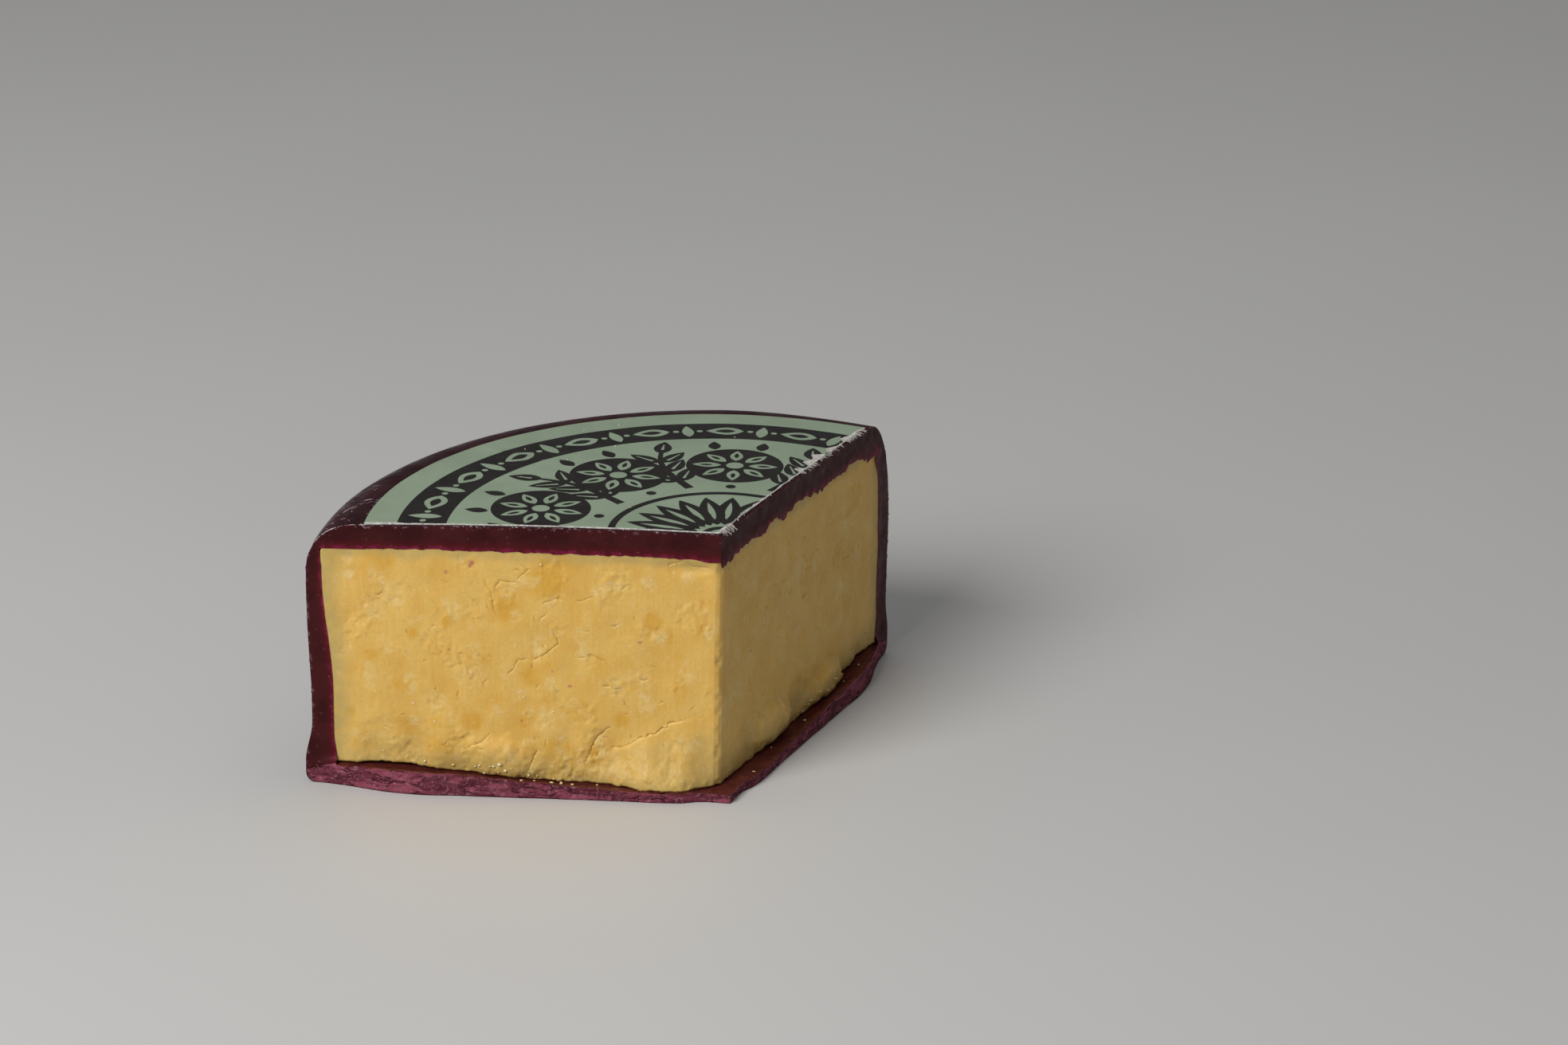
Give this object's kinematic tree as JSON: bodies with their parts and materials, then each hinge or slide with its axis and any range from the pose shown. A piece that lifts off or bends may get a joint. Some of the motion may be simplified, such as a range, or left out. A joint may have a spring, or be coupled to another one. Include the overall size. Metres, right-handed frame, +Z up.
{
  "type": "cheddar block",
  "caption": "Sector cut from a wax-coated mature cheddar wheel, with a paper label on top, two cut faces of cheese and a rough ledge of wax along their foot.",
  "frame": {"origin": "middle of the block's bounding box at the face it stands on", "axes": "+Z up from the base wax to the label; the large front cut faces -Y and runs along X, with the wheel's rim at -X and its middle towards +X"},
  "size_m": [0.1408, 0.1074, 0.0693],
  "materials": {
    "cheddar": "moist, slightly translucent cut cheese with pale seams and cracks",
    "burgundy_wax": "poured cheese wax, glossy and scratched outside, smooth where cut, rough where torn",
    "printed_paper": "coated paper, semi-matt, sage green with black print"
  },
  "bodies": {
    "root": {"cheese": "cheddar", "wax_coat": "burgundy_wax", "label": "printed_paper"}
  },
  "joints": []
}
